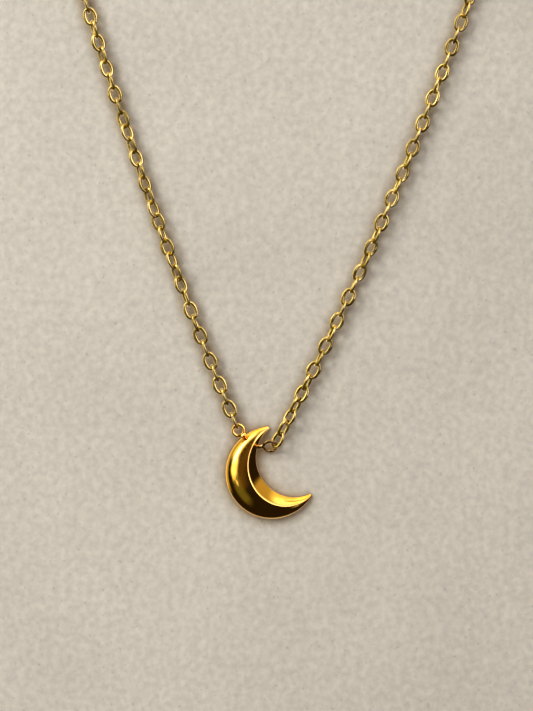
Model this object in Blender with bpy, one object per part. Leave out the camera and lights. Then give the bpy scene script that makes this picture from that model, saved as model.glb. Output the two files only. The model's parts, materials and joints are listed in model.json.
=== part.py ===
"""Pendant necklace: a polished crescent moon on a fine cable chain, with a lobster clasp.

The necklace hangs open as a loop: Z is up, the crescent faces -Y and its flat back lies in the plane y = 0.
"""

import math

import bmesh
import bpy
import numpy as np
from mathutils import Matrix, Vector

MM = 0.001

# Crescent: two circles in the XZ plane, the inner one shifted towards the opening.
OUTER_RADIUS = 5.20 * MM
INNER_RADIUS = 4.60 * MM
CENTRE_SHIFT = 3.35 * MM
OPENING_ANGLE = math.radians(31.9)
BELLY_OFFSET = 3.28 * MM
TIP_RADIUS = 0.14 * MM
TIP_BLUNTNESS = 180
THICKNESS = 1.90 * MM
RIM_SHARE = 0.18
STATIONS = 34

# Where the ridge runs across the crescent, as a share of its width from the outer edge.
RIDGE_UPPER = 0.82
RIDGE_BELLY = 0.69
RIDGE_LOWER = 0.50

# Gap between the crescent and the solder that holds its eyelets.
SOLDER_GAP = 0.02 * MM

# Chain: oval links of round wire.
WIRE = 0.345 * MM
LINK_HALF = 0.925 * MM
END_RADIUS = 0.55 * MM
RUN_STEP = 1.55 * MM
FREE_STEP = 1.465 * MM
SINGLE_LINKS = 5
RUNS = 17
LINKS_PER_RUN = 7

# Hanging curve of the two strands, and the bend round the neck to the nape.
CATENARY = 60.2 * MM
NAPE = {"left": (-8.7 * MM, 61.5 * MM, 128.0 * MM), "right": (8.7 * MM, 54.5 * MM, 128.0 * MM)}
NECK_PULL = 95.0 * MM
NAPE_PULL = 90.0 * MM
SLOPE = {"left": 2.40, "right": 1.85}
SIDE = {"left": -1.0, "right": 1.0}

# Twist of each strand, in degrees, against distance from its lower end.
TWIST = {
    "left": ((0, 90), (11, 90), (16, 125), (31, 125), (38, 180), (192, 180)),
    "right": ((0, -40), (3, -42), (9, 0), (192, 0)),
}

# Eyelet rings soldered to the crescent: centre, ring radius, tilt about X, solder foot centre and size.
EYELET_WIRE = 0.345 * MM
EYELETS = {
    "left": ((-0.97, -0.90, 6.63), 0.63, 0.0, (-0.44, -0.82, 6.04), (0.36, 0.36, 0.44)),
    "right": ((2.63, -0.70, 4.80), 0.75, 40.0, (1.58, -0.64, 4.75), (0.66, 0.26, 0.22)),
}

# Where the first link hooks its ring: angle round the ring, and the step between the two wires' centres.
HOOKED = {"left": 112.6, "right": 33.0}
HOOK_STEP = 0.38 * MM

# Clasp, along +X from the centre of its eye; Z is across and Y is through.
CLASP_RING_RADIUS = 1.275 * MM
CLASP_RING_WIRE = 0.45 * MM
END_RING_RADIUS = 1.95 * MM
END_RING_WIRE = 0.60 * MM
EYE_RADIUS = 0.85 * MM
EYE_WIRE = 0.56 * MM
CLASP_BLOCK = ((2.45, 0.0, -0.50), (3.7, 2.0, 3.3))
CLASP_SLOT = ((3.3, 0.0, 0.85), (4.3, 0.9, 2.9))
CLASP_HOOK = (
    (3.2, -1.45), (5.0, -1.70), (6.6, -1.75), (8.0, -1.45),
    (9.1, -0.75), (9.5, 0.15), (9.2, 1.0), (8.5, 1.55),
)
CLASP_HOOK_RADII = (0.60, 0.58, 0.55, 0.52, 0.50, 0.47, 0.42, 0.34)
LEVER_PATH = ((1.55, 0.95), (2.3, 0.85), (3.6, 0.95), (5.2, 1.0), (6.8, 0.80), (8.0, 0.62))
LEVER_RADII = (0.26, 0.34, 0.34, 0.31, 0.28, 0.24)
THUMB_PAD = ((1.75, 0.0, 1.45), (0.34, 0.40, 0.42))
PIVOT = (2.3 * MM, 0.0, 0.85 * MM)
PIN_RADIUS = 0.17 * MM
PIN_LENGTH = 2.0 * MM
PIN_GAP = 0.02 * MM
SPRING_CENTRE = (3.7 * MM, 0.0)
SPRING_FLOOR = -0.56 * MM
SPRING_HEIGHT = 1.10 * MM
SPRING_RADIUS = 0.24 * MM
SPRING_WIRE = 0.10 * MM
SPRING_TURNS = 3

PENDANT_GOLD = (0.83, 0.50, 0.08)
CHAIN_GOLD = (0.86, 0.66, 0.27)
SPRING_STEEL = (0.55, 0.55, 0.56)


def clear_scene():
    for obj in list(bpy.data.objects):
        bpy.data.objects.remove(obj, do_unlink=True)


def new_collection(name):
    made = bpy.data.collections.new(name)
    bpy.context.scene.collection.children.link(made)
    return made


def polished(name, colour, roughness=0.18):
    material = bpy.data.materials.new(name)
    material.use_nodes = True
    shader = material.node_tree.nodes["Principled BSDF"]
    shader.inputs["Base Color"].default_value = (*colour, 1.0)
    shader.inputs["Metallic"].default_value = 1.0
    shader.inputs["Roughness"].default_value = roughness
    return material


def add_node(name, mesh, origin, colour=CHAIN_GOLD):
    """A named sub-part whose mesh is given in world space and whose origin is on its joint axis."""
    mesh.name = name
    mesh.transform(Matrix.Translation(-Vector(origin)))
    obj = bpy.data.objects.new(name, mesh)
    obj.location = origin
    PARTS.objects.link(obj)
    mesh.materials.append(polished(name, colour))
    mesh.shade_smooth()
    mesh.set_sharp_from_angle(angle=math.radians(50))
    return obj


def add_cutter(name, mesh):
    obj = bpy.data.objects.new(name, mesh)
    CUTTERS.objects.link(obj)
    obj.hide_render = True
    obj.display_type = "WIRE"
    return obj


def combine(obj, other, operation):
    modifier = obj.modifiers.new(other.name, "BOOLEAN")
    modifier.operation = operation
    modifier.object = other
    modifier.solver = "EXACT"


def tube(points, radius, cyclic=False, sides=2, shares=None):
    """Mesh of a round wire along points; sides is the curve's bevel resolution."""
    curve = bpy.data.curves.new("wire", "CURVE")
    curve.dimensions = "3D"
    curve.bevel_depth = radius
    curve.bevel_resolution = sides
    curve.use_fill_caps = not cyclic
    spline = curve.splines.new("POLY")
    spline.points.add(len(points) - 1)
    for index, point in enumerate(points):
        spline.points[index].co = (*point, 1.0)
        spline.points[index].radius = shares[index] if shares else 1.0
    spline.use_cyclic_u = cyclic
    holder = bpy.data.objects.new("wire", curve)
    CUTTERS.objects.link(holder)
    graph = bpy.context.evaluated_depsgraph_get()
    mesh = bpy.data.meshes.new_from_object(holder.evaluated_get(graph))
    bpy.data.objects.remove(holder, do_unlink=True)
    return tidied(mesh)


def tidied(mesh):
    work = bmesh.new()
    work.from_mesh(mesh)
    bmesh.ops.remove_doubles(work, verts=work.verts, dist=1e-7)
    bmesh.ops.recalc_face_normals(work, faces=work.faces)
    work.to_mesh(mesh)
    work.free()
    return mesh


def finished(work, name):
    mesh = bpy.data.meshes.new(name)
    work.to_mesh(mesh)
    work.free()
    return mesh


def ball(centre, radii):
    work = bmesh.new()
    matrix = Matrix.Translation(centre) @ Matrix.Diagonal((*radii, 1.0))
    bmesh.ops.create_uvsphere(work, u_segments=16, v_segments=9, radius=1.0, matrix=matrix)
    return finished(work, "ball")


def rounded_box(centre, sizes, width):
    work = bmesh.new()
    matrix = Matrix.Translation(centre) @ Matrix.Diagonal((*sizes, 1.0))
    bmesh.ops.create_cube(work, size=1.0, matrix=matrix)
    if width:
        bmesh.ops.bevel(work, geom=work.edges, offset=width, segments=3, profile=0.5, affect="EDGES")
    return finished(work, "box")


def rod(centre, radius, length):
    work = bmesh.new()
    matrix = Matrix.Translation(centre) @ Matrix.Rotation(math.pi / 2, 4, "X")
    sizes = {"radius1": radius, "radius2": radius, "depth": length}
    bmesh.ops.create_cone(work, cap_ends=True, segments=24, matrix=matrix, **sizes)
    return finished(work, "rod")


def ring_points(centre, first, second, radius, count):
    turns = np.arange(count) * 2 * math.pi / count
    return [tuple(centre + radius * (math.cos(a) * first + math.sin(a) * second)) for a in turns]


def unit(vector):
    return vector / np.linalg.norm(vector)


def turned(vector, axis, angle):
    """Vector perpendicular to axis, turned about it."""
    return vector * math.cos(angle) + np.cross(axis, vector) * math.sin(angle)


# ---- crescent ----


def tip_swell(t):
    """Fullness added to each edge, growing along the horns and closing round their blunt tips."""
    return TIP_RADIUS * t**4 * math.sqrt(max(0.0, 1 - abs(t) ** TIP_BLUNTNESS))


def crescent_station(t):
    """Outer and inner edge points at t, from -1 at the upper tip to 1 at the lower tip."""
    opening = direction(OPENING_ANGLE)
    outer_centre = BELLY_OFFSET * opening
    inner_centre = outer_centre + CENTRE_SHIFT * opening
    along = (OUTER_RADIUS**2 - INNER_RADIUS**2 + CENTRE_SHIFT**2) / (2 * CENTRE_SHIFT)
    half_chord = math.sqrt(OUTER_RADIUS**2 - along**2)
    outer_half = math.pi - math.atan2(half_chord, along)
    inner_half = math.pi - math.atan2(half_chord, along - CENTRE_SHIFT)
    belly = OPENING_ANGLE + math.pi
    outer = outer_centre + (OUTER_RADIUS + tip_swell(t)) * direction(belly + t * outer_half)
    inner = inner_centre + (INNER_RADIUS - tip_swell(t)) * direction(belly + t * inner_half)
    return outer, inner


def direction(angle):
    return np.array([math.cos(angle), math.sin(angle)])


def ridge_share(t):
    """Share of the width at which the ridge runs: a parabola through both tips and the belly."""
    lean = (RIDGE_LOWER - RIDGE_UPPER) / 2
    bow = (RIDGE_LOWER + RIDGE_UPPER) / 2 - RIDGE_BELLY
    return RIDGE_BELLY + lean * t + bow * t**2


def crescent_profile(t):
    """Both edge points, then the section's shares across and heights over dome, ridge and bevel."""
    outer, inner = crescent_station(t)
    widest = OUTER_RADIUS + CENTRE_SHIFT - INNER_RADIUS
    width = np.linalg.norm(inner - outer)
    height = THICKNESS * (width / widest) ** 0.8
    rim = RIM_SHARE * height
    ridge = ridge_share(t)
    across = [0.0, 0.0]
    heights = [0.0, rim]
    for share in (0.04, 0.12, 0.25, 0.42, 0.62, 0.82, 1.0):
        across.append(ridge * share)
        heights.append(rim + (height - rim) * (1 - (1 - share) ** 2.2) ** 0.62)
    for share in (0.3, 0.65, 1.0):
        across.append(ridge + (1 - ridge) * share)
        heights.append(rim + (height - rim) * (1 - share) * (1 + 0.25 * share))
    return outer, inner, across + [1.0], heights + [0.0]


def crescent_mesh():
    rows = []
    for t in np.sin(np.linspace(-1, 1, STATIONS) * math.pi / 2)[1:-1]:
        outer, inner, across, heights = crescent_profile(t)
        flat = [outer + (inner - outer) * share for share in across]
        rows.append([(p[0], -h, p[1]) for p, h in zip(flat, heights)])
    count = len(rows[0])
    points = [point for row in rows for point in row]
    tips = [crescent_station(t)[0] for t in (-1, 1)]
    points += [(tip[0], -0.04 * MM, tip[1]) for tip in tips]
    faces = []
    for row in range(len(rows) - 1):
        for i in range(count):
            j = (i + 1) % count
            faces.append((row * count + i, row * count + j, (row + 1) * count + j, (row + 1) * count + i))
    last = (len(rows) - 1) * count
    for i in range(count):
        j = (i + 1) % count
        faces.append((len(points) - 2, j, i))
        faces.append((len(points) - 1, last + i, last + j))
    mesh = bpy.data.meshes.new("crescent")
    mesh.from_pydata(points, [], faces)
    return tidied(mesh)


def add_crescent():
    add_node("crescent", crescent_mesh(), (0, 0, 0), PENDANT_GOLD)
    clearance = add_cutter("crescent_clearance", crescent_mesh())
    swell = clearance.modifiers.new("swell", "DISPLACE")
    swell.strength = SOLDER_GAP
    swell.mid_level = 0.0
    return clearance


# ---- eyelets ----


def eyelet_frame(side):
    """Ring centre, the two in-plane directions and the ring's normal."""
    centre, _, tilt, _, _ = EYELETS[side]
    lean = math.radians(tilt)
    up = np.array([0.0, -math.sin(lean), math.cos(lean)])
    across = np.array([1.0, 0.0, 0.0])
    return np.array(centre) * MM, across, up, np.cross(across, up)


def add_eyelet(side, clearance):
    _, radius, _, foot, foot_size = EYELETS[side]
    centre, across, up, _ = eyelet_frame(side)
    ring = tube(ring_points(centre, across, up, radius * MM, 20), EYELET_WIRE / 2, cyclic=True, sides=1)
    eyelet = add_node(f"eyelet_{side}", ring, (0, 0, 0), PENDANT_GOLD)
    solder = ball(Vector(foot) * MM, Vector(foot_size) * MM)
    combine(eyelet, add_cutter(f"solder_{side}", solder), "UNION")
    combine(eyelet, clearance, "DIFFERENCE")


# ---- strand curve ----


def hanging(side, start, length):
    """Point and tangent on the hanging curve, at a length along it from start."""
    rise = SLOPE[side] + length / CATENARY
    along = CATENARY * (math.asinh(rise) - math.asinh(SLOPE[side]))
    up = CATENARY * (math.hypot(1, rise) - math.hypot(1, SLOPE[side]))
    point = start + np.array([SIDE[side] * along, 0.0, up])
    return point, unit(np.array([SIDE[side], 0.0, rise]))


def strand_points(side, start, front):
    """Centreline from the pendant to the nape, leaving the hanging curve after the front length."""
    hung = [hanging(side, start, s)[0] for s in np.linspace(0, front, 260)]
    point, tangent = hanging(side, start, front)
    nape = np.array(NAPE[side])
    pull = np.array([-SIDE[side] * NAPE_PULL, 0.0, 0.0])
    for t in np.linspace(0, 1, 241)[1:]:
        bend = (2 * t**3 - 3 * t**2 + 1) * point + (t**3 - 2 * t**2 + t) * NECK_PULL * tangent
        hung.append(bend + (3 * t**2 - 2 * t**3) * nape + (t**3 - t**2) * pull)
    return np.array(hung)


def path_lengths(points):
    steps = np.linalg.norm(np.diff(points, axis=0), axis=1)
    return np.concatenate([[0.0], np.cumsum(steps)])


def fitted_strand(side, start, length):
    """The strand whose whole length matches its links, found by bisection on the front length."""
    low, high = 60 * MM, 160 * MM
    for _ in range(40):
        front = (low + high) / 2
        points = strand_points(side, start, front)
        if path_lengths(points)[-1] > length:
            high = front
        else:
            low = front
    return points


def carried_normals(points):
    """Normals along the strand, starting at -Y and carried with no twist."""
    tangents = np.gradient(points, axis=0)
    tangents /= np.linalg.norm(tangents, axis=1)[:, None]
    normal = np.array([0.0, -1.0, 0.0])
    normals = []
    for tangent in tangents:
        normal = unit(normal - tangent * np.dot(normal, tangent))
        normals.append(normal)
    return np.array(normals)


def link_starts():
    """Distance from the strand's start to each link's near end, and the first link of each moving piece."""
    starts, firsts, at = [], [], 0.0
    sizes = [1] * SINGLE_LINKS + [LINKS_PER_RUN] * RUNS
    for size in sizes:
        firsts.append(len(starts))
        for index in range(size):
            starts.append(at)
            at += FREE_STEP if index == size - 1 else RUN_STEP
    return starts, firsts, sizes


def strand_start(side):
    """Centre of the first link's lower wire, hooked in its eyelet."""
    centre, across, up, _ = eyelet_frame(side)
    angle = math.radians(HOOKED[side])
    wire = centre + EYELETS[side][1] * MM * (math.cos(angle) * across + math.sin(angle) * up)
    return wire - HOOK_STEP * unit(np.array([SIDE[side], 0.0, SLOPE[side]]))


def link_frames(side):
    """Centre, long direction and plane normal of every link of the strand."""
    starts, firsts, sizes = link_starts()
    points = fitted_strand(side, strand_start(side), starts[-1] + 2 * LINK_HALF)
    lengths = path_lengths(points)
    normals = carried_normals(points)
    knots = np.array(TWIST[side], dtype=float)
    frames = []
    for index, start in enumerate(starts):
        near = sampled(points, lengths, start)
        far = sampled(points, lengths, start + 2 * LINK_HALF)
        along = unit(far - near)
        normal = sampled(normals, lengths, start + LINK_HALF)
        normal = unit(normal - along * np.dot(normal, along))
        twist = np.interp(start / MM, knots[:, 0], knots[:, 1]) + 90 * (index % 2)
        frames.append(((near + far) / 2, along, turned(normal, along, math.radians(twist))))
    return frames, firsts, sizes


def sampled(values, lengths, at):
    return np.array([np.interp(at, lengths, values[:, axis]) for axis in range(3)])


# ---- links ----


def link_template(per_end, radius, sides):
    """One oval link in the XY plane, long along X."""
    step = math.pi / (per_end - 1)
    arc_centre = LINK_HALF - END_RADIUS * (math.cos(step / 2) if per_end % 2 == 0 else 1.0)
    points = []
    for turn in (0.0, math.pi):
        for index in range(per_end):
            angle = -math.pi / 2 + index * step
            x = arc_centre + END_RADIUS * math.cos(angle)
            y = END_RADIUS * math.sin(angle)
            flip = math.cos(turn)
            points.append((flip * x, flip * y, 0.0))
    return tube(points, radius, cyclic=True, sides=sides)


def link_matrix(frame):
    centre, along, normal = frame
    matrix = Matrix.Identity(4)
    for column, axis in enumerate((along, np.cross(normal, along), normal)):
        matrix.col[column][:3] = axis
    matrix.col[3][:3] = centre
    return matrix


def placed_links(template, frames):
    work = bmesh.new()
    for frame in frames:
        copy = template.copy()
        copy.transform(link_matrix(frame))
        work.from_mesh(copy)
        bpy.data.meshes.remove(copy)
    mesh = bpy.data.meshes.new("links")
    work.to_mesh(mesh)
    work.free()
    return mesh


def joint_after(frame):
    """Where the next piece swings on this link: the centre of its far end, about its plane's normal."""
    centre, along, normal = frame
    return centre + (LINK_HALF - END_RADIUS) * along, normal


def piece_name(side, index):
    if index < SINGLE_LINKS:
        return f"{side}_link_{index + 1}"
    return f"{side}_run_{index + 1 - SINGLE_LINKS:02d}"


def add_strand(side, single, coarse):
    """All links of one side. Returns each moving piece's joint and the last link's frame."""
    frames, firsts, sizes = link_frames(side)
    centre, _, _, normal = eyelet_frame(side)
    joints = []
    for index, (first, size) in enumerate(zip(firsts, sizes)):
        at, axis = joint_after(frames[first - 1]) if first else (centre, normal)
        joints.append((piece_name(side, index), at, axis))
        links = frames[first : first + size]
        if size == 1:
            add_node(joints[-1][0], placed_links(single, links), at)
            continue
        run = add_node(joints[-1][0], placed_links(coarse, links[0::2]), at)
        between = add_cutter(f"{joints[-1][0]}_between", placed_links(coarse, links[1::2]))
        combine(run, between, "UNION")
    return joints, frames[-1]


# ---- clasp ----


def on_clasp(eye, values):
    return Vector(eye) + Vector(values) * MM


def flat_path(eye, pairs):
    return [tuple(on_clasp(eye, (x, 0.0, z))) for x, z in pairs]


def add_ring(name, centre, first, second, radius, wire, origin):
    mesh = tube(ring_points(centre, first, second, radius, 24), wire / 2, cyclic=True, sides=1)
    return add_node(name, mesh, origin)


def add_clasp_body(eye, origin):
    block = rounded_box(on_clasp(eye, CLASP_BLOCK[0]), Vector(CLASP_BLOCK[1]) * MM, 0.6 * MM)
    body = add_node("clasp_body", block, origin)
    across, up = np.array([1.0, 0.0, 0.0]), np.array([0.0, 0.0, 1.0])
    loop = tube(ring_points(np.array(eye), across, up, EYE_RADIUS, 18), EYE_WIRE / 2, cyclic=True)
    combine(body, add_cutter("clasp_eye", loop), "UNION")
    hook = tube(flat_path(eye, CLASP_HOOK), MM, shares=CLASP_HOOK_RADII)
    combine(body, add_cutter("clasp_hook", hook), "UNION")
    slot = rounded_box(on_clasp(eye, CLASP_SLOT[0]), Vector(CLASP_SLOT[1]) * MM, 0.0)
    combine(body, add_cutter("clasp_slot", slot), "DIFFERENCE")
    return body


def add_lever(eye, pivot):
    lever = add_node("clasp_lever", tube(flat_path(eye, LEVER_PATH), MM, shares=LEVER_RADII), pivot)
    pad = ball(on_clasp(eye, THUMB_PAD[0]), Vector(THUMB_PAD[1]) * MM)
    combine(lever, add_cutter("lever_pad", pad), "UNION")
    return lever


def spring_points(eye):
    bottom = SPRING_FLOOR + SPRING_WIRE / 2 + 0.02 * MM
    climb = SPRING_HEIGHT - SPRING_WIRE
    points = []
    for index in range(SPRING_TURNS * 8 + 1):
        angle = index * math.pi / 4
        share = index / (SPRING_TURNS * 8)
        x = SPRING_CENTRE[0] + SPRING_RADIUS * math.cos(angle)
        y = SPRING_RADIUS * math.sin(angle)
        points.append((eye[0] + x, eye[1] + y, eye[2] + bottom + climb * share))
    return points


def add_clasp(last_link):
    """Jump ring, claw, lever, pin and spring, from the end of the left strand towards +X."""
    centre, along, _ = last_link
    end = centre + LINK_HALF * along
    along = np.array([1.0, 0.0, 0.0])
    across, up = np.array([0.0, 1.0, 0.0]), np.array([0.0, 0.0, 1.0])
    at, axis = joint_after(last_link)
    hooked = (WIRE + CLASP_RING_WIRE) / 2 + 0.02 * MM
    ring_centre = end + (CLASP_RING_RADIUS - hooked) * along
    add_ring("clasp_ring", ring_centre, along, across, CLASP_RING_RADIUS, CLASP_RING_WIRE, at)
    inner = (CLASP_RING_WIRE + EYE_WIRE) / 2 + 0.02 * MM
    eye = ring_centre + (CLASP_RING_RADIUS - inner + EYE_RADIUS) * along
    pivot = eye + np.array(PIVOT)
    body = add_clasp_body(eye, ring_centre)
    lever = add_lever(eye, pivot)
    hole = add_cutter("pin_hole", rod(Vector(pivot), PIN_RADIUS + PIN_GAP, 2 * PIN_LENGTH))
    combine(body, hole, "DIFFERENCE")
    combine(lever, hole, "DIFFERENCE")
    add_node("clasp_pin", rod(Vector(pivot), PIN_RADIUS, PIN_LENGTH), pivot)
    add_node("clasp_spring", tube(spring_points(eye), SPRING_WIRE / 2, sides=1), pivot, SPRING_STEEL)
    return (
        ("clasp_ring", at, axis),
        ("clasp_body", ring_centre, up),
        ("clasp_lever", pivot, np.array([0.0, 1.0, 0.0])),
    )


def add_end_ring(last_link):
    centre, along, _ = last_link
    end = centre + LINK_HALF * along
    along = np.array([-1.0, 0.0, 0.0])
    across = np.array([0.0, 1.0, 0.0])
    at, axis = joint_after(last_link)
    hooked = (WIRE + END_RING_WIRE) / 2 + 0.02 * MM
    ring_centre = end + (END_RING_RADIUS - hooked) * along
    add_ring("end_ring", ring_centre, along, across, END_RING_RADIUS, END_RING_WIRE, at)
    return (("end_ring", at, axis),)


def build():
    clearance = add_crescent()
    for side in ("left", "right"):
        add_eyelet(side, clearance)
    single = link_template(6, WIRE / 2, 1)
    coarse = link_template(4, 0.19 * MM, 0)
    joints, last = add_strand("left", single, coarse)
    joints += add_clasp(last)
    right, last = add_strand("right", single, coarse)
    joints += right
    joints += add_end_ring(last)
    for name, at, axis in joints:
        print("JOINT", name, *np.round(at, 7), *np.round(unit(np.array(axis)), 6))


clear_scene()
PARTS = new_collection("crescent_necklace")
CUTTERS = new_collection("cutters")
build()
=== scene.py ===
"""Looks of the crescent necklace, with a pale display card close behind the pendant."""

import json
import math

import bmesh
import bpy
import numpy as np
from mathutils import Matrix, Vector


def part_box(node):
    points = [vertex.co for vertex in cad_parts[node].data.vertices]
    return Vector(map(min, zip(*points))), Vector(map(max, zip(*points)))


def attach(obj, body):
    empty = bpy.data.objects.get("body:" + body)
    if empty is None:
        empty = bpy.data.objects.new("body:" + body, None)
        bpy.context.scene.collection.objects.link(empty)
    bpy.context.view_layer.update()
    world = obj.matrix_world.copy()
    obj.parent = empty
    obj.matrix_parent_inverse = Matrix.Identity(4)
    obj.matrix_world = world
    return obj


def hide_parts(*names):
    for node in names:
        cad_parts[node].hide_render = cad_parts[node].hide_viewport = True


MM = 0.001
TO_METRES = Matrix.Scale(MM, 4)
X, Y, Z = np.eye(3)
FRONT = (0.0, -1.0, 0.0)
RANDOM = np.random.default_rng(7)

# Crescent, in millimetres.
OUTER_RADIUS = 5.20
INNER_RADIUS = 4.60
CENTRE_SHIFT = 3.35
OPENING_ANGLE = math.radians(31.9)
BELLY_OFFSET = 3.28
TIP_RADIUS = 0.14
TIP_BLUNTNESS = 180
TIP_DEPTH = 0.05
THICKNESS = 1.90
THINNING = 0.8
RIM_SHARE = 0.18
RIDGE_UPPER = 0.82
RIDGE_BELLY = 0.69
RIDGE_LOWER = 0.50
DOME_FALL = 2.2
DOME_FULLNESS = 0.62
BEVEL_FULLNESS = 0.25
EDGE_SOFTNESS = 0.05
CRESCENT_STATIONS = 241
DOME_STEPS = 30
BEVEL_STEPS = 14

# Eyelets: wire rings leaning back about X, soldered on with beads given as centre, radii and facing. The last
# radius is the depth along the facing. In millimetres and degrees.
EYELETS = {
    "left": {
        "gold": "pendant_gold",
        "centre": (-0.97, -0.90, 6.63),
        "radius": 0.63,
        "lean": 0.0,
        "beads": (
            ((-0.43, -0.95, 6.12), (0.36, 0.34, 0.17), (-0.40, -0.74, 0.54)),
            ((-0.40, -0.66, 6.00), (0.32, 0.32, 0.32), FRONT),
        ),
    },
    "right": {
        # This ring's gold is darkened all over: painted shade, as the ring lies in shadow.
        "gold": "shade_painted_gold",
        "centre": (2.63, -0.70, 4.80),
        "radius": 0.75,
        "lean": 40.0,
        "beads": (
            ((1.76, -0.70, 4.79), (0.30, 0.26, 0.24), FRONT),
            ((1.40, -0.62, 4.76), (0.44, 0.26, 0.24), FRONT),
        ),
    },
}

# Chain links, in metres. The planes of a run's links wander off the plain quarter turns, and each link rocks.
WIRE = 0.345 * MM
LINK_HALF = 0.925 * MM
LINK_HALF_WIDTH = 0.555 * MM
LINK_POWER = 2.3
FLANK_SWELL = 0.28
SOLDER_SWELL = 0.10
SOLDER_SPREAD = 0.22
END_INSET = 0.375 * MM
RUN_STEP = 1.55 * MM
LINKS_PER_RUN = 7
PATH_STEPS = 36
WIRE_SIDES = 12
CURVE_STEPS = 40
ROCKING = math.radians(8)
WANDER = math.radians(45)
LEAST_WANDER = 0.45

# Clasp, in millimetres from the centre of its eye: X towards the tip, Z towards the lever's side.
CLASP_BLOCK = ((2.45, 0.0, -0.50), (3.7, 2.0, 3.3), 0.75)
CLASP_SLOT = ((3.3, 0.0, 0.85), (4.3, 0.9, 2.9), 0.06)
HOOK_PATH = (
    (3.2, -1.45), (5.0, -1.72), (6.6, -1.82), (8.0, -1.54), (9.1, -0.80), (9.5, 0.15), (9.2, 1.0), (8.5, 1.50)
)
HOOK_RADII = (0.60, 0.56, 0.47, 0.42, 0.44, 0.45, 0.42, 0.34)
LEVER_PATH = ((1.55, 0.95), (2.3, 0.85), (3.6, 0.95), (5.2, 1.0), (6.8, 0.80), (8.0, 0.62))
LEVER_RADII = (0.26, 0.34, 0.34, 0.31, 0.26, 0.20)
THUMB_PAD = ((1.75, 0.0, 1.45), (0.34, 0.40, 0.42))
PIVOT = (2.3, 0.0, 0.85)
EYE_RADIUS = 0.85
EYE_WIRE = 0.56
PIN_RADIUS = 0.17
PIN_LENGTH = 2.0
PIN_CROWN = 0.05
PIN_CLEARANCE = 0.02
SPRING_WIRE = 0.05
SPRING_TURNS = 3
SPRING_STEPS = 24
RING_STEPS = 64
JUMP_RING_STEPS = 96
JUMP_RING_GAP = math.radians(1.2)
JUMP_RINGS = {
    "clasp_jump_ring": {"node": "clasp_ring", "wire": 0.45 * MM},
    "tail_ring": {"node": "end_ring", "wire": 0.55 * MM},
}

# Metals: colour of their light and deep patches and at a grazing look, then depth of waves and scratches.
METALS = {
    "pendant_gold": {
        "light": (0.95, 0.56, 0.075),
        "deep": (0.88, 0.47, 0.045),
        "edge": (1.0, 0.88, 0.55),
        "roughness": 0.11,
        "waviness": 0.004 * MM,
        "scratches": 0.0006 * MM,
    },
    # Pendant gold darkened all over for the right eyelet: painted shade, as that ring lies in shadow.
    "shade_painted_gold": {
        "light": (0.62, 0.40, 0.09),
        "deep": (0.20, 0.11, 0.02),
        "edge": (1.0, 0.88, 0.55),
        "roughness": 0.13,
        "waviness": 0.004 * MM,
        "scratches": 0.0006 * MM,
    },
    "chain_gold": {
        "light": (0.76, 0.545, 0.105),
        "deep": (0.35, 0.235, 0.03),
        "edge": (1.0, 0.92, 0.58),
        "roughness": 0.085,
        "waviness": 0.007 * MM,
        "scratches": 0.0012 * MM,
        "dullness": 0.10,
    },
    "clasp_gold": {
        "light": (0.93, 0.72, 0.33),
        "deep": (0.84, 0.62, 0.24),
        "edge": (1.0, 0.94, 0.74),
        "roughness": 0.16,
        "waviness": 0.008 * MM,
        "scratches": 0.0015 * MM,
    },
    "spring_steel": {
        "light": (0.62, 0.62, 0.63),
        "deep": (0.50, 0.50, 0.52),
        "edge": (1.0, 1.0, 1.0),
        "roughness": 0.25,
        "waviness": 0.003 * MM,
        "scratches": 0.0015 * MM,
    },
}

# Noise as cells per metre and detail; relief also has its depth.
METAL_PATCHES = (520, 3)
METAL_SMEARS = (2300, 4)
METAL_WAVES = (900, 1)
METAL_HAIRLINES = (2600, 6)
HAIRLINE_STRETCH = (0.35, 1.0, 2.6)
CARD_MOTTLE = (1300, 9)
CARD_PITS = (2100, 2)
CARD_CLOUDS = (55, 2)
CARD_RELIEF = ((180, 3, 0.22 * MM), (700, 4, 0.07 * MM), (3600, 5, 0.050 * MM))
FLOOR_CLOUDS = (60, 4)

WHITE = (1.0, 1.0, 1.0)
CARD_TONES = ((0.519, 0.484, 0.424), (0.656, 0.609, 0.530))
CARD_PIT_SHADE = (0.80, 0.80, 0.80)
CARD_CLOUD_SHADES = ((0.965, 0.965, 0.965), (1.03, 1.03, 1.03))
# Painted contact shade on the card near the necklace: its brown-gold colour, reach and samples.
CONTACT_SHADE = (0.48, 0.37, 0.20)
CONTACT_REACH = 1.45 * MM
CONTACT_SAMPLES = 6
FLOOR_TONES = ((0.74, 0.71, 0.66), (0.80, 0.77, 0.72))
FLOOR_GLOW = 0.30

# Camera and stage, in metres.
VIEW_CENTRE = (2.23 * MM, 15.16 * MM)
VIEW_HEIGHT = 81.34 * MM
VIEW_WIDTH = 60.98 * MM
CAMERA_DISTANCE = 0.24
SENSOR = 36.0
CARD_GAP = 0.12 * MM
CARD_SPREAD = 1.12
FLOOR_LEVEL = -32 * MM
FLOOR_REACH = 1.5

# Lamps as place, size, power and colour. They point at the middle of the necklace.
LAMPS = {
    "window": ((-0.27, -0.29, 0.21), 0.22, 1.20, (1.0, 0.98, 0.95)),
    "ceiling": ((-0.05, -0.30, 0.40), 0.35, 0.55, (1.0, 0.98, 0.94)),
}
LAMP_TARGET = Vector((0.0, 0.0, 0.03))
STUDIO_COLOUR = (0.80, 0.78, 0.74, 1.0)
STUDIO_STRENGTH = 0.455
BACKDROP_GLOW = 0.35

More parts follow.
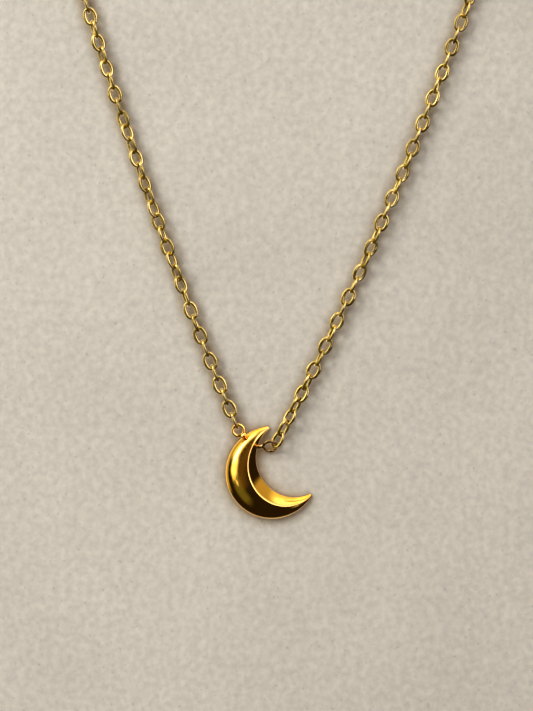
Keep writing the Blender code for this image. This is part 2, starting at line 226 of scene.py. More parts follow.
# Soft boxes of the room, as the metal sees them. Round the view axis: middle and half width, anticlockwise
# from the right. Away from it: nearest and farthest. All in degrees; then edge softness, colour and strength.
SOFT_BOXES = (
    (124, 34, 50, 98, 8, (1.00, 0.96, 0.70), 1.3),
    (136, 16, 60, 70, 5, (1.00, 1.00, 1.60), 7.0),
    (133, 30, 56, 74, 7, (1.00, 1.00, 2.80), 2.6),
    (168, 14, 44, 76, 6, (1.00, 0.98, 1.10), 2.0),
    (183, 8, 52, 70, 4, (1.00, 0.92, 0.84), 1.3),
    (196, 4, 46, 54, 3, (1.00, 0.92, 1.20), 1.5),
    (88, 36, 80, 114, 6, (1.00, 0.93, 0.78), 1.3),
    (76, 20, 74, 94, 6, (1.00, 1.00, 1.60), 1.6),
    (39, 13, 72, 125, 4, (1.00, 0.80, 0.50), 0.55),
    (34, 50, 18, 72, 5, (1.00, 1.02, 2.60), 1.45),
    (46, 32, 30, 46, 5, (1.00, 1.02, 1.60), 3.0),
    (-36, 6, 50, 60, 4, (1.00, 0.92, 0.80), 0.9),
    (-150, 26, 34, 70, 10, (0.85, 0.95, 0.55), 0.16),
    (150, 60, 14, 40, 12, (1.00, 0.62, 0.40), 0.10),
    (165, 130, 130, 181, 9, (1.00, 0.94, 0.86), 0.34),
    (0, 181, 142, 181, 5, (1.00, 0.92, 1.50), 0.75),
    (145, 58, 104, 181, 9, (1.00, 0.86, 0.62), 0.70),
)
ROOM_SHADE = (0.020, 0.014, 0.012)


# ---- helpers ----


def unit(vector):
    return vector / np.linalg.norm(vector)


def turned(vector, axis, angle):
    """Vector perpendicular to axis, turned about it."""
    return vector * math.cos(angle) + np.cross(axis, vector) * math.sin(angle)


def eased(start, end, leaving, arriving, t):
    """Cubic curve from start to end, with the given slopes at its two ends."""
    first = (2 * t**3 - 3 * t**2 + 1) * start + (t**3 - 2 * t**2 + t) * leaving
    last = (3 * t**2 - 2 * t**3) * end + (t**3 - t**2) * arriving
    return first + last


def add_piece(name, mesh, material, body, node):
    """A visible piece that rides a body and stands for a CAD node."""
    piece = bpy.data.objects.new(name, mesh)
    bpy.context.scene.collection.objects.link(piece)
    mesh.materials.clear()
    mesh.materials.append(material)
    mesh.shade_smooth()
    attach(piece, body)
    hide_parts(node)


def finished(work, name):
    """The mesh of a bmesh, which is freed."""
    mesh = bpy.data.meshes.new(name)
    work.to_mesh(mesh)
    work.free()
    return mesh


def applied(obj):
    """The object's mesh with its modifiers applied; the object is removed."""
    if obj.name not in bpy.context.scene.collection.objects:
        bpy.context.scene.collection.objects.link(obj)
    graph = bpy.context.evaluated_depsgraph_get()
    mesh = bpy.data.meshes.new_from_object(obj.evaluated_get(graph))
    bpy.data.objects.remove(obj, do_unlink=True)
    work = bmesh.new()
    work.from_mesh(mesh)
    bmesh.ops.remove_doubles(work, verts=work.verts, dist=1e-7)
    bmesh.ops.recalc_face_normals(work, faces=work.faces)
    return finished(work, mesh.name)


def tube(points, radii, cyclic=False):
    """Mesh of a round wire along points; radii is one radius or one for each point."""
    curve = bpy.data.curves.new("wire", "CURVE")
    curve.dimensions = "3D"
    curve.bevel_depth = 1.0
    curve.bevel_resolution = 3
    curve.use_fill_caps = not cyclic
    spline = curve.splines.new("POLY")
    spline.points.add(len(points) - 1)
    radii = np.broadcast_to(radii, len(points))
    for knot, point, radius in zip(spline.points, points, radii):
        knot.co = (*point, 1.0)
        knot.radius = radius
    spline.use_cyclic_u = cyclic
    return applied(bpy.data.objects.new("wire", curve))


def ring_points(centre, first, second, radius, count, gap=0.0):
    """Points round a circle; gap leaves an opening of that angle at its start."""
    turns = gap / 2 + np.arange(count) * (2 * math.pi - gap) / (count if gap == 0 else count - 1)
    return [centre + radius * (math.cos(a) * first + math.sin(a) * second) for a in turns]


def joined(*meshes):
    work = bmesh.new()
    for mesh in meshes:
        work.from_mesh(mesh)
    return finished(work, "joined")


def cast(mesh, voxel, smoothing):
    """Overlapping shapes melted into one soft casting. The mesh is in millimetres."""
    obj = bpy.data.objects.new("cast", mesh)
    remesh = obj.modifiers.new("melt", "REMESH")
    remesh.mode = "VOXEL"
    remesh.voxel_size = voxel
    smooth = obj.modifiers.new("soften", "SMOOTH")
    smooth.iterations = smoothing
    return applied(obj)


def cut(mesh, cutter):
    """The mesh with the cutter taken away."""
    obj = bpy.data.objects.new("cut", mesh)
    other = bpy.data.objects.new("cutter", cutter)
    bpy.context.scene.collection.objects.link(other)
    modifier = obj.modifiers.new("cut", "BOOLEAN")
    modifier.object = other
    modifier.operation = "DIFFERENCE"
    modifier.solver = "EXACT"
    result = applied(obj)
    bpy.data.objects.remove(other, do_unlink=True)
    return result


def ellipsoid(place, radii):
    matrix = place @ Matrix.Diagonal((*radii, 1.0))
    work = bmesh.new()
    bmesh.ops.create_icosphere(work, subdivisions=4, radius=1.0, matrix=matrix)
    return finished(work, "ellipsoid")


def ball(centre, radii):
    return ellipsoid(Matrix.Translation(centre), radii)


def bead(centre, radii, facing):
    """An ellipsoid of solder; the last radius is its depth along the facing direction."""
    turn = Vector(facing).to_track_quat("Z", "Y").to_matrix().to_4x4()
    return ellipsoid(Matrix.Translation(centre) @ turn, radii)


def rounded_box(centre, sizes, radius):
    matrix = Matrix.Translation(centre) @ Matrix.Diagonal((*sizes, 1.0))
    work = bmesh.new()
    bmesh.ops.create_cube(work, size=1.0, matrix=matrix)
    bmesh.ops.bevel(work, geom=work.edges, offset=radius, segments=6, profile=0.5, affect="EDGES")
    return finished(work, "box")


# ---- materials ----


def link_nodes(tree, source, output, target, field):
    tree.links.new(source.outputs[output], target.inputs[field])


def math_node(tree, operation, first, second=None):
    node = tree.nodes.new("ShaderNodeMath")
    node.operation = operation
    tree.links.new(first, node.inputs[0])
    if isinstance(second, float):
        node.inputs[1].default_value = second
    elif second:
        tree.links.new(second, node.inputs[1])
    return node.outputs[0]


def noise_node(tree, coordinates, scale, detail, stretch=(1, 1, 1)):
    mapping = tree.nodes.new("ShaderNodeMapping")
    mapping.inputs["Scale"].default_value = stretch
    link_nodes(tree, coordinates, "Object", mapping, "Vector")
    noise = tree.nodes.new("ShaderNodeTexNoise")
    noise.inputs["Scale"].default_value = scale
    noise.inputs["Detail"].default_value = detail
    link_nodes(tree, mapping, "Vector", noise, "Vector")
    return noise


def ramp_node(tree, source, low, high, first, last, output="Fac"):
    ramp = tree.nodes.new("ShaderNodeValToRGB")
    ramp.color_ramp.elements[0].position = low
    ramp.color_ramp.elements[1].position = high
    ramp.color_ramp.elements[0].color = (*first, 1.0)
    ramp.color_ramp.elements[1].color = (*last, 1.0)
    link_nodes(tree, source, output, ramp, "Fac")
    return ramp


def bump_node(tree, height, depth, before=None):
    bump = tree.nodes.new("ShaderNodeBump")
    bump.inputs["Strength"].default_value = 1.0
    bump.inputs["Distance"].default_value = depth
    link_nodes(tree, height, "Fac", bump, "Height")
    if before:
        link_nodes(tree, before, "Normal", bump, "Normal")
    return bump


def multiplied(tree, first, *others):
    """Product of two or more colours."""
    product = first
    for other in others:
        node = tree.nodes.new("ShaderNodeMixRGB")
        node.blend_type = "MULTIPLY"
        node.inputs["Fac"].default_value = 1.0
        link_nodes(tree, product, "Color", node, "Color1")
        link_nodes(tree, other, "Color", node, "Color2")
        product = node
    return product


def new_material(name):
    """A material with its node tree, shader and object coordinates."""
    material = bpy.data.materials.new(name)
    material.use_nodes = True
    tree = material.node_tree
    return material, tree, tree.nodes["Principled BSDF"], tree.nodes.new("ShaderNodeTexCoord")


def polished_metal(name, light, deep, edge, roughness, waviness, scratches, dullness=0.0):
    """Hand-polished metal: uneven colour, hairline scratches and faint waves in the reflections."""
    material, tree, shader, coordinates = new_material(name)
    shader.inputs["Metallic"].default_value = 1.0 - dullness
    shader.inputs["Specular Tint"].default_value = (*edge, 1.0)
    patches = noise_node(tree, coordinates, *METAL_PATCHES)
    tone = ramp_node(tree, patches, 0.35, 0.68, deep, light)
    link_nodes(tree, tone, "Color", shader, "Base Color")
    smears = noise_node(tree, coordinates, *METAL_SMEARS)
    haze = ramp_node(tree, smears, 0.3, 0.75, (roughness * 0.7,) * 3, (roughness * 1.5,) * 3)
    link_nodes(tree, haze, "Color", shader, "Roughness")
    waves = bump_node(tree, noise_node(tree, coordinates, *METAL_WAVES), waviness)
    hairlines = noise_node(tree, coordinates, *METAL_HAIRLINES, stretch=HAIRLINE_STRETCH)
    relief = bump_node(tree, hairlines, scratches, waves)
    link_nodes(tree, relief, "Normal", shader, "Normal")
    return material


def contact_shade(tree):
    """Painted contact shade: darkens the card's colour, brown-gold, where something lies close to it."""
    closeness = tree.nodes.new("ShaderNodeAmbientOcclusion")
    closeness.samples = CONTACT_SAMPLES
    closeness.inputs["Distance"].default_value = CONTACT_REACH
    return ramp_node(tree, closeness, 0.64, 0.98, CONTACT_SHADE, WHITE, "AO")


def see_through(tree, shader):
    """Makes the material's back side clear, so the card never hides the necklace from behind."""
    geometry = tree.nodes.new("ShaderNodeNewGeometry")
    clear = tree.nodes.new("ShaderNodeBsdfTransparent")
    mix = tree.nodes.new("ShaderNodeMixShader")
    link_nodes(tree, geometry, "Backfacing", mix, "Fac")
    tree.links.new(shader.outputs["BSDF"], mix.inputs[1])
    tree.links.new(clear.outputs["BSDF"], mix.inputs[2])
    link_nodes(tree, mix, "Shader", tree.nodes["Material Output"], "Surface")


def card_material():
    """Pale, sandy painted surface with small dark pits, faint clouds and painted contact shade near the
    necklace, seen only from its front.
    """
    material, tree, shader, coordinates = new_material("pale_card")
    tone = ramp_node(tree, noise_node(tree, coordinates, *CARD_MOTTLE), 0.3, 0.7, *CARD_TONES)
    pits = ramp_node(tree, noise_node(tree, coordinates, *CARD_PITS), 0.66, 0.74, WHITE, CARD_PIT_SHADE)
    clouds = ramp_node(tree, noise_node(tree, coordinates, *CARD_CLOUDS), 0.35, 0.65, *CARD_CLOUD_SHADES)
    # The last factor is painted shade where the necklace lies close to the card.
    colour = multiplied(tree, tone, pits, clouds, contact_shade(tree))
    link_nodes(tree, colour, "Color", shader, "Base Color")
    shader.inputs["Roughness"].default_value = 0.85
    relief = None
    for scale, detail, depth in CARD_RELIEF:
        relief = bump_node(tree, noise_node(tree, coordinates, scale, detail), depth, relief)
    link_nodes(tree, relief, "Normal", shader, "Normal")
    see_through(tree, shader)
    return material


def floor_material():
    """Matt, faintly cloudy surface that looks a little brighter to the eye than its lamps make it."""
    material, tree, shader, coordinates = new_material("pale_floor")
    tone = ramp_node(tree, noise_node(tree, coordinates, *FLOOR_CLOUDS), 0.3, 0.7, *FLOOR_TONES)
    link_nodes(tree, tone, "Color", shader, "Base Color")
    link_nodes(tree, tone, "Color", shader, "Emission Color")
    rays = tree.nodes.new("ShaderNodeLightPath")
    glow = math_node(tree, "MULTIPLY", rays.outputs["Is Camera Ray"], FLOOR_GLOW)
    tree.links.new(glow, shader.inputs["Emission Strength"])
    shader.inputs["Roughness"].default_value = 0.9
    shader.inputs["Specular IOR Level"].default_value = 0.0
    return material


# ---- crescent ----


def direction(angle):
    return np.array([math.cos(angle), math.sin(angle)])


def tip_swell(t):
    """Fullness added to each edge, growing along the horns and closing round their blunt tips."""
    return TIP_RADIUS * t**4 * math.sqrt(max(0.0, 1 - abs(t) ** TIP_BLUNTNESS))


def ridge_share(t):
    """Share of the width at which the ridge runs: a parabola through both tips and the belly."""
    lean = (RIDGE_LOWER - RIDGE_UPPER) / 2
    bow = (RIDGE_LOWER + RIDGE_UPPER) / 2 - RIDGE_BELLY
    return RIDGE_BELLY + lean * t + bow * t**2


def crescent_station(t):
    """Outer and inner edge points at t, from -1 at the upper tip to 1 at the lower tip."""
    opening = direction(OPENING_ANGLE)
    outer_centre = BELLY_OFFSET * opening
    inner_centre = outer_centre + CENTRE_SHIFT * opening
    along = (OUTER_RADIUS**2 - INNER_RADIUS**2 + CENTRE_SHIFT**2) / (2 * CENTRE_SHIFT)
    half_chord = math.sqrt(OUTER_RADIUS**2 - along**2)
    outer_half = math.pi - math.atan2(half_chord, along)
    inner_half = math.pi - math.atan2(half_chord, along - CENTRE_SHIFT)
    belly = OPENING_ANGLE + math.pi
    outer = outer_centre + (OUTER_RADIUS + tip_swell(t)) * direction(belly + t * outer_half)
    inner = inner_centre + (INNER_RADIUS - tip_swell(t)) * direction(belly + t * inner_half)
    return outer, inner


def rounded_corner(before, corner, after, steps=4):
    """Points of a curve from before to after that bends round the corner."""
    before, corner, after = map(np.array, (before, corner, after))
    shares = np.linspace(0, 1, steps + 2)
    return [(1 - s) ** 2 * before + 2 * s * (1 - s) * corner + s**2 * after for s in shares]


def crescent_profile(width, t):
    """Closed section as (across, height): dome, crisp ridge, inner bevel, thin rims and a flat back."""
    widest = OUTER_RADIUS + CENTRE_SHIFT - INNER_RADIUS
    height = THICKNESS * (width / widest) ** THINNING
    rim = RIM_SHARE * height
    ridge = width * ridge_share(t)
    soft = min(EDGE_SOFTNESS, 0.12 * width)

    def dome(share):
        lift = (1 - (1 - share) ** DOME_FALL) ** DOME_FULLNESS
        return np.array([ridge * share, rim + (height - rim) * lift])

    def bevel(share):
        lift = (1 - share) * (1 + BEVEL_FULLNESS * share)
        return np.array([ridge + (width - ridge) * share, rim + (height - rim) * lift])

    foot = bevel(1.0)
    points = rounded_corner((soft, 0.0), (0.0, 0.0), (0.0, min(soft, rim * 0.8)))
    points += [dome(share**2) for share in np.linspace(0, 0.975, DOME_STEPS)]
    points += rounded_corner(dome(0.962), dome(1.0), bevel(0.11), steps=8)
    points += [bevel(share) for share in np.linspace(0.14, 0.93, BEVEL_STEPS)]
    points += rounded_corner(bevel(0.96), foot, foot * (1, 0.7))
    points += rounded_corner((width, min(soft, rim * 0.6)), (width, 0.0), (width - soft, 0.0))
    return points


def crescent_sections():
    """Closed sections of points, from the upper tip to the lower one."""
    sections = []
    for t in np.sin(np.linspace(-1, 1, CRESCENT_STATIONS) * math.pi / 2)[1:-1]:
        outer, inner = crescent_station(t)
        width = np.linalg.norm(inner - outer)
        across = (inner - outer) / width
        profile = [(outer + across * a, height) for a, height in crescent_profile(width, t)]
        sections.append([(x, -height, z) for (x, z), height in profile])
    return sections


def crescent_mesh():
    work = bmesh.new()
    rings = [[work.verts.new(point) for point in section] for section in crescent_sections()]
    for here, there in zip(rings, rings[1:]):
        for i in range(len(here)):
            work.faces.new((here[i - 1], here[i], there[i], there[i - 1]))
    for ring, t in ((rings[0], -1), (rings[-1], 1)):
        x, z = crescent_station(t)[0]
        tip = work.verts.new((x, -TIP_DEPTH, z))
        for i in range(len(ring)):
            work.faces.new((tip, ring[i - 1], ring[i]))
    bmesh.ops.recalc_face_normals(work, faces=work.faces)
    return finished(work, "crescent")


def add_crescent(material):
    mesh = crescent_mesh()
    mesh.transform(TO_METRES)
    add_piece("moon", mesh, material, "pendant", "crescent")


# ---- eyelets ----


def add_eyelet(side, eyelet, material):
    lean = math.radians(eyelet["lean"])
    up = np.array([0.0, -math.sin(lean), math.cos(lean)])
    path = ring_points(np.array(eyelet["centre"]), X, up, eyelet["radius"], RING_STEPS)
    ring = tube(path, WIRE / 2 / MM, cyclic=True)
    solder = [bead(*values) for values in eyelet["beads"]]
    mesh = cast(joined(ring, *solder), voxel=0.022, smoothing=3)
    mesh.transform(TO_METRES)
    add_piece(f"ring_{side}", mesh, material, "pendant", f"eyelet_{side}")


# ---- chain ----


def strand_joints(side, last):
    """Child names, places and axes of the strand's joints, from the pendant to its last ring."""
    chain = [j for j in frame["joints"] if j["child"].startswith(side) or j["child"] == last]
    places = np.array([j["pos_m"] for j in chain])
    axes = np.array([unit(np.array(j["axis"])) for j in chain])
    return [j["child"] for j in chain], places, axes


def smooth_curve(knots):
    """Dense points through the knots, the length along them, and the length at each knot."""
    steps = np.linalg.norm(np.diff(knots, axis=0), axis=1)
    at = np.concatenate([[0.0], np.cumsum(steps)])
    slopes = np.gradient(knots, at, axis=0)
    t = np.linspace(0, 1, CURVE_STEPS + 1)[1:, None]
    spans = [knots[:1]]
    for i, step in enumerate(steps):
        spans.append(eased(knots[i], knots[i + 1], step * slopes[i], step * slopes[i + 1], t))
    points = np.concatenate(spans)
    lengths = np.concatenate([[0.0], np.cumsum(np.linalg.norm(np.diff(points, axis=0), axis=1))])
    return points, lengths, lengths[::CURVE_STEPS]


def placed_on(points, lengths, at):
    """Point and tangent of the curve at a length; before its start the curve is straight."""
    slopes = np.gradient(points, lengths, axis=0)
    tangent = unit(np.array([np.interp(at, lengths, slopes[:, k]) for k in range(3)]))
    point = np.array([np.interp(at, lengths, points[:, k]) for k in range(3)])
    return point + min(at, 0.0) * tangent, tangent


def across_of(axis, tangent):
    return unit(axis - tangent * np.dot(axis, tangent))


def leftover_twist(axis_before, axis_after, tangent, turns):
    """Angle still missing when a plane is turned by quarter turns; planes repeat every half turn."""
    guess = turned(across_of(axis_after, tangent), tangent, -turns * math.pi / 2)
    target = across_of(axis_before, tangent)
    angle = math.atan2(np.dot(np.cross(guess, target), tangent), np.dot(guess, target))
    return (angle + math.pi / 2) % math.pi - math.pi / 2


def link_turns(count, twist):
    """Angle of each link's plane round the chain, from a piece's last link back to its first."""
    wander = RANDOM.choice((-1, 1)) * RANDOM.uniform(LEAST_WANDER, 1.0) * WANDER
    turns = []
    for back in range(count):
        share = back / max(count - 1, 1)
        turn = -back * math.pi / 2 + twist * share + wander * math.sin(math.pi * share)
        turns.append(turn + RANDOM.uniform(-ROCKING, ROCKING) * (0 < back < count - 1))
    return turns


def link_places(side, last):
    """For each moving piece of the strand: centre, long direction and plane normal of its links."""
    names, places, axes = strand_joints(side, last)
    points, lengths, knots = smooth_curve(places[1:])
    pieces = {}
    for index, name in enumerate(names[:-1]):
        end, axis = knots[index], axes[index + 1]
        count = LINKS_PER_RUN if "run" in name else 1
        tangent = placed_on(points, lengths, end - END_INSET - count * RUN_STEP)[1]
        twist = leftover_twist(axes[index], axis, tangent, count) if count > 1 else 0.0
        pieces[name] = []
        for back, turn in enumerate(link_turns(count, twist)):
            point, tangent = placed_on(points, lengths, end - END_INSET - back * RUN_STEP)
            normal = turned(across_of(axis, tangent), tangent, turn)
            pieces[name].append((point, tangent, normal))
    return pieces


def link_path(turns):
    """Points round the oval of a link in the XY plane, and the outward direction at each."""
    power = 2 / LINK_POWER
    x = LINK_HALF * np.sign(np.cos(turns)) * np.abs(np.cos(turns)) ** power
    y = LINK_HALF_WIDTH * np.sign(np.sin(turns)) * np.abs(np.sin(turns)) ** power
    path = np.stack([x, y, 0 * x], axis=1)
    tangents = np.roll(path, -1, axis=0) - np.roll(path, 1, axis=0)
    tangents /= np.linalg.norm(tangents, axis=1)[:, None]
    return path, np.stack([tangents[:, 1], -tangents[:, 0], 0 * x], axis=1)


def link_arrays():
    """Vertices and quads of one fine oval link: broader flanks, thicker at its soldered side."""
    turns = np.arange(PATH_STEPS) * 2 * math.pi / PATH_STEPS
    path, outward = link_path(turns)
    solder = 1 + SOLDER_SWELL * np.exp(-(((turns - math.pi / 2) / SOLDER_SPREAD) ** 2))
    flank = 1 + FLANK_SWELL * np.sin(turns) ** 2
    verts = []
    for centre, normal, swell, width in zip(path, outward, solder, flank):
        for section in np.arange(WIRE_SIDES) * 2 * math.pi / WIRE_SIDES:
            sideways = width * math.cos(section) + width - 1
            verts.append(centre + WIRE / 2 * swell * (sideways * normal + math.sin(section) * Z))
    faces = []
    for i in range(PATH_STEPS):
        here, there = i * WIRE_SIDES, (i + 1) % PATH_STEPS * WIRE_SIDES
        for j in range(WIRE_SIDES):
            after = (j + 1) % WIRE_SIDES
            faces.append((here + j, here + after, there + after, there + j))
    return np.array(verts), np.array(faces)


def links_mesh(links, link_shape):
    """One mesh of links, each given by its centre, long direction and plane normal."""
    verts, faces = link_shape
    all_verts, all_faces = [], []
    for number, (centre, along, normal) in enumerate(links):
        axes = np.stack([along, np.cross(normal, along), normal])
        all_verts.append(verts @ axes + centre)
        all_faces.append(faces + number * len(verts))
    mesh = bpy.data.meshes.new("links")
    mesh.from_pydata(np.concatenate(all_verts).tolist(), [], np.concatenate(all_faces).tolist())
    return mesh


def add_strand(side, last, material):
    link_shape = link_arrays()
    for name, links in link_places(side, last).items():
        add_piece(f"{name}_wire", links_mesh(links, link_shape), material, name, name)


# ---- clasp ----


def rounded_path(pairs, radii, count):
    """A smooth path through points in the clasp's plane, with its radii."""
    at = np.arange(len(pairs))
    dense = np.linspace(0, len(pairs) - 1, count)
    pairs = np.array(pairs)
    slopes = np.gradient(pairs, axis=0)
    left = np.minimum(dense.astype(int), len(pairs) - 2)
    t = (dense - left)[:, None]
    path = eased(pairs[left], pairs[left + 1], slopes[left], slopes[left + 1], t)
    return [(x, 0.0, z) for x, z in path], np.interp(dense, at, radii)


def end_ball(path, radii, end):
    """Rounds off one end of a path: 0 is its start and -1 its end."""
    x, z = path[end]
    return ball((x, 0.0, z), (radii[end],) * 3)


def pin_hole():
    radius = PIN_RADIUS + PIN_CLEARANCE
    matrix = Matrix.Translation(PIVOT) @ Matrix.Rotation(math.pi / 2, 4, "X")
    sizes = {"radius1": radius, "radius2": radius, "depth": 2 * PIN_LENGTH}
    work = bmesh.new()
    bmesh.ops.create_cone(work, cap_ends=True, segments=40, matrix=matrix, **sizes)
    return finished(work, "hole")


def clasp_body_mesh():
    block = rounded_box(*CLASP_BLOCK)
    eye = tube(ring_points(np.zeros(3), X, Z, EYE_RADIUS, RING_STEPS), EYE_WIRE / 2, cyclic=True)
    hook = tube(*rounded_path(HOOK_PATH, HOOK_RADII, 60))
    tip = end_ball(HOOK_PATH, HOOK_RADII, -1)
    body = cast(joined(block, eye, hook, tip), voxel=0.055, smoothing=8)
    return cut(cut(body, rounded_box(*CLASP_SLOT)), pin_hole())


def lever_mesh():
    arm = tube(*rounded_path(LEVER_PATH, LEVER_RADII, 50))
    ends = [end_ball(LEVER_PATH, LEVER_RADII, end) for end in (0, -1)]
    return cast(joined(arm, ball(*THUMB_PAD), *ends), voxel=0.045, smoothing=5)


def pin_mesh():
    """A turned pin with domed ends, along Y."""
    half = PIN_LENGTH / 2
    profile = [(0.0, -half), (PIN_RADIUS * 0.6, -half + PIN_CROWN * 0.3), (PIN_RADIUS, -half + PIN_CROWN)]
    profile += [(radius, -along) for radius, along in reversed(profile)]
    work = bmesh.new()
    verts = [work.verts.new((radius, along, 0.0)) for radius, along in profile]
    edges = [work.edges.new(pair) for pair in zip(verts, verts[1:])]
    full_turn = {"axis": Y, "cent": (0, 0, 0), "angle": 2 * math.pi, "steps": 32, "use_merge": True}
    bmesh.ops.spin(work, geom=verts + edges, **full_turn)
    bmesh.ops.remove_doubles(work, verts=work.verts, dist=1e-4)
    bmesh.ops.recalc_face_normals(work, faces=work.faces)
    return finished(work, "pin")


def spring_mesh():
    """A small coil that fills the box of its CAD node, in metres."""
    low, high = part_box("clasp_spring")
    middle = (low + high) / 2
    wire = SPRING_WIRE * MM
    radius = (high.x - low.x) / 2 - wire
    height = high.z - low.z - 2 * wire
    count = SPRING_TURNS * SPRING_STEPS
    points = []
    for index in range(count + 1):
        x, y = radius * direction(index * 2 * math.pi / SPRING_STEPS)
        points.append((middle.x + x, middle.y + y, low.z + wire + height * index / count))
    return tube(points, wire)


def add_clasp(gold, steel):
    pivot = next(j for j in frame["joints"] if j["child"] == "clasp_lever")["pos_m"]
    eye = Vector(pivot) - Vector(PIVOT) * MM
    body, lever, pin = clasp_body_mesh(), lever_mesh(), pin_mesh()
    body.transform(Matrix.Translation(eye) @ TO_METRES)
    lever.transform(Matrix.Translation(eye) @ TO_METRES)
    pin.transform(Matrix.Translation(pivot) @ TO_METRES)
    add_piece("claw", body, gold, "clasp_body", "clasp_body")
    add_piece("trigger", lever, gold, "clasp_lever", "clasp_lever")
    add_piece("pivot_pin", pin, gold, "clasp_body", "clasp_pin")
    add_piece("coil", spring_mesh(), steel, "clasp_body", "clasp_spring")


def add_jump_ring(name, node, wire, material):
    """A round ring with the fine seam of a closed jump ring, in the plane of its CAD node."""
    low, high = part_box(node)
    centre = np.array((low + high) / 2)
    radius = (high.x - low.x) / 2 - wire / 2
    path = ring_points(centre, Y, X, radius, JUMP_RING_STEPS, JUMP_RING_GAP)
    add_piece(name, tube(path, wire / 2), material, node, node)


# ---- stage ----


def add_plate(name, corners, material):
    mesh = bpy.data.meshes.new(name)
    mesh.from_pydata(corners, [], [(0, 1, 2, 3)])
    mesh.materials.append(material)
    obj = bpy.data.objects.new(name, mesh)
    bpy.context.scene.collection.objects.link(obj)
    obj.visible_glossy = False


def add_card():
    """Upright card a hair behind the pendant's flat back, reaching past the view on all sides."""
    x, z = VIEW_CENTRE
    half_width = VIEW_WIDTH / 2 * CARD_SPREAD
    half_height = VIEW_HEIGHT / 2 * CARD_SPREAD
    left, right = x - half_width, x + half_width
    low, high = max(z - half_height, FLOOR_LEVEL), z + half_height
    corners = [(left, low), (right, low), (right, high), (left, high)]
    add_plate("card", [(x, CARD_GAP, z) for x, z in corners], card_material())


def add_floor():
    corners = [(-1, -1), (1, -1), (1, 1), (-1, 1)]
    ground = [(x * FLOOR_REACH, y * FLOOR_REACH, FLOOR_LEVEL) for x, y in corners]
    add_plate("floor", ground, floor_material())


def add_lamp(name, place, size, power, colour):
    """A round lamp that polished metal doesn't mirror."""
    light = bpy.data.lights.new(name, "AREA")
    light.shape = "DISK"
    light.size = size
    light.energy = power
    light.color = colour
    obj = bpy.data.objects.new(name, light)
    obj.location = place
    obj.rotation_euler = (LAMP_TARGET - obj.location).to_track_quat("-Z", "Y").to_euler()
    obj.visible_glossy = False
    bpy.context.scene.collection.objects.link(obj)


def vector_node(tree, operation, first, second=None):
    node = tree.nodes.new("ShaderNodeVectorMath")
    node.operation = operation
    tree.links.new(first, node.inputs[0])
    if isinstance(second, tuple):
        node.inputs[1].default_value = second
    elif second:
        tree.links.new(second, node.inputs[1])
    return node


def step_node(tree, value, start, end):
    """Smooth rise from 0 to 1 between two angles given in degrees; it falls when start is the larger."""
    node = tree.nodes.new("ShaderNodeMapRange")
    node.interpolation_type = "SMOOTHSTEP"
    rising = start < end
    node.inputs["From Min"].default_value = math.radians(min(start, end))
    node.inputs["From Max"].default_value = math.radians(max(start, end))
    node.inputs["To Min"].default_value = 0.0 if rising else 1.0
    node.inputs["To Max"].default_value = 1.0 if rising else 0.0
    tree.links.new(value, node.inputs["Value"])
    return node.outputs["Result"]


def soft_box(tree, around, away, box):
    """Light of one soft box in a direction given round the view axis and away from it."""
    middle, half, nearest, farthest, soft, colour, strength = box
    facing = (math.cos(math.radians(middle)), 0.0, math.sin(math.radians(middle)))
    turn = math_node(tree, "ARCCOSINE", vector_node(tree, "DOT_PRODUCT", around, facing).outputs["Value"])
    sideways = step_node(tree, turn, half + soft, half - soft)
    inner = step_node(tree, away, nearest - soft, nearest + soft)
    outer = step_node(tree, away, farthest + soft, farthest - soft)
    share = math_node(tree, "MULTIPLY", math_node(tree, "MULTIPLY", inner, outer), sideways)
    light = tree.nodes.new("ShaderNodeVectorMath")
    light.operation = "SCALE"
    light.inputs[0].default_value = [strength * part for part in colour]
    tree.links.new(share, light.inputs["Scale"])
    return light.outputs[0]


def reflected_room(tree):
    """The dark room with its soft boxes, by the direction in which the metal looks."""
    coordinates = tree.nodes.new("ShaderNodeTexCoord").outputs["Generated"]
    front = vector_node(tree, "DOT_PRODUCT", coordinates, FRONT).outputs["Value"]
    away = math_node(tree, "ARCCOSINE", front)
    flat = vector_node(tree, "MULTIPLY", coordinates, (1.0, 0.0, 1.0)).outputs[0]
    around = vector_node(tree, "NORMALIZE", flat).outputs[0]
    total = ROOM_SHADE
    for box in SOFT_BOXES:
        total = vector_node(tree, "ADD", soft_box(tree, around, away, box), total).outputs[0]
    room = tree.nodes.new("ShaderNodeBackground")
    tree.links.new(total, room.inputs["Color"])
    return room


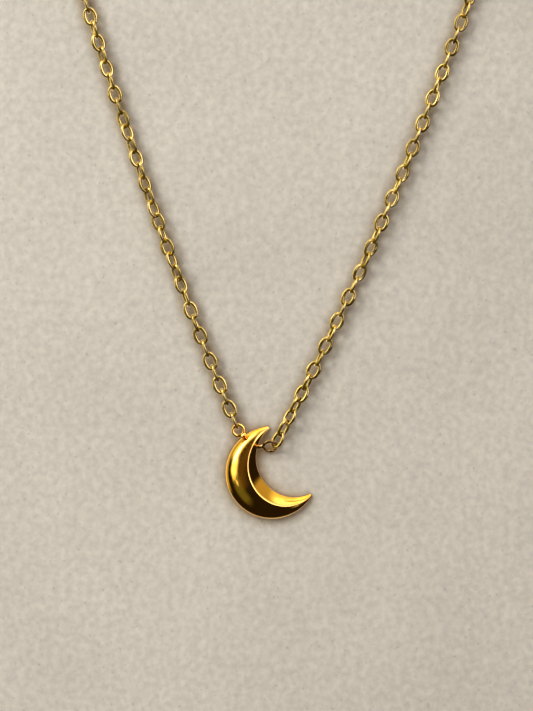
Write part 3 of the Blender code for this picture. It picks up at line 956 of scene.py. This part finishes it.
def add_world():
    """A pale even studio for the eye and for matt surfaces, and the room of soft boxes for polished metal."""
    world = bpy.data.worlds.new("studio")
    bpy.context.scene.world = world
    world.use_nodes = True
    tree = world.node_tree
    tree.nodes.clear()
    studio = tree.nodes.new("ShaderNodeBackground")
    studio.inputs["Color"].default_value = STUDIO_COLOUR
    rays = tree.nodes.new("ShaderNodeLightPath")
    glow = math_node(tree, "MULTIPLY", rays.outputs["Is Camera Ray"], BACKDROP_GLOW)
    tree.links.new(math_node(tree, "ADD", glow, STUDIO_STRENGTH), studio.inputs["Strength"])
    mix = tree.nodes.new("ShaderNodeMixShader")
    output = tree.nodes.new("ShaderNodeOutputWorld")
    link_nodes(tree, rays, "Is Glossy Ray", mix, "Fac")
    tree.links.new(studio.outputs[0], mix.inputs[1])
    tree.links.new(reflected_room(tree).outputs[0], mix.inputs[2])
    link_nodes(tree, mix, "Shader", output, "Surface")


def add_camera():
    data = bpy.data.cameras.new("camera")
    data.sensor_width = SENSOR
    data.lens = SENSOR * CAMERA_DISTANCE / VIEW_HEIGHT
    data.clip_start = 0.01
    camera = bpy.data.objects.new("camera", data)
    camera.location = (VIEW_CENTRE[0], -CAMERA_DISTANCE, VIEW_CENTRE[1])
    camera.rotation_euler = (math.pi / 2, 0, 0)
    bpy.context.scene.collection.objects.link(camera)
    bpy.context.scene.camera = camera


# ---- scene ----

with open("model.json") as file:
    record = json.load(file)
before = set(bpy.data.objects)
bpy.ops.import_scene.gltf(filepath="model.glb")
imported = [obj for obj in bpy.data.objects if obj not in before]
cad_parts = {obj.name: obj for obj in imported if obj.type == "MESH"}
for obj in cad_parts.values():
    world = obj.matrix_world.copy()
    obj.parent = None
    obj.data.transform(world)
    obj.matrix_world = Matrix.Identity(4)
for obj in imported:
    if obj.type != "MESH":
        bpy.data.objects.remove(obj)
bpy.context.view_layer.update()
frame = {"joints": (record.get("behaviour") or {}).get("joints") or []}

metals = {name: polished_metal(name, **look) for name, look in METALS.items()}
add_crescent(metals["pendant_gold"])
for side, eyelet in EYELETS.items():
    add_eyelet(side, eyelet, metals[eyelet["gold"]])
add_strand("left", "clasp_ring", metals["chain_gold"])
add_strand("right", "end_ring", metals["chain_gold"])
add_clasp(metals["clasp_gold"], metals["spring_steel"])
for name, ring in JUMP_RINGS.items():
    add_jump_ring(name, ring["node"], ring["wire"], metals["clasp_gold"])

add_card()
add_floor()
for name, lamp in LAMPS.items():
    add_lamp(name, *lamp)
add_world()
add_camera()
bpy.context.scene.view_settings.view_transform = "Standard"
